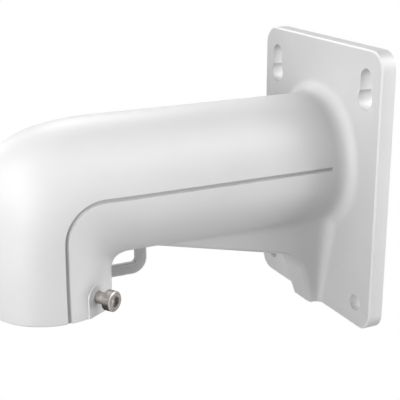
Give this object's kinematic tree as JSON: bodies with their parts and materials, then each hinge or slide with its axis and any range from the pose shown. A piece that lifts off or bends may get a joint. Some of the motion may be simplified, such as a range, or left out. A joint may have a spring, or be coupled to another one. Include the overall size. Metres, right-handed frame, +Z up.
{
  "type": "camera wall bracket",
  "caption": "Hollow goose-neck wall bracket with a rectangular wall plate, a gusset, a threaded neck for a dome camera, a safety-rope loop and a lock screw.",
  "frame": {"origin": "centre of the wall plate's back face, on the wall", "axes": "+Z up, -Y out from the wall along the arm, +X to the right as seen from in front"},
  "size_m": [0.1106, 0.1891, 0.1446],
  "materials": {
    "powder_coat": "satin",
    "screw_steel": "satin"
  },
  "bodies": {
    "root": {"bracket_casting": "powder_coat", "lock_screw": "screw_steel"}
  },
  "joints": []
}
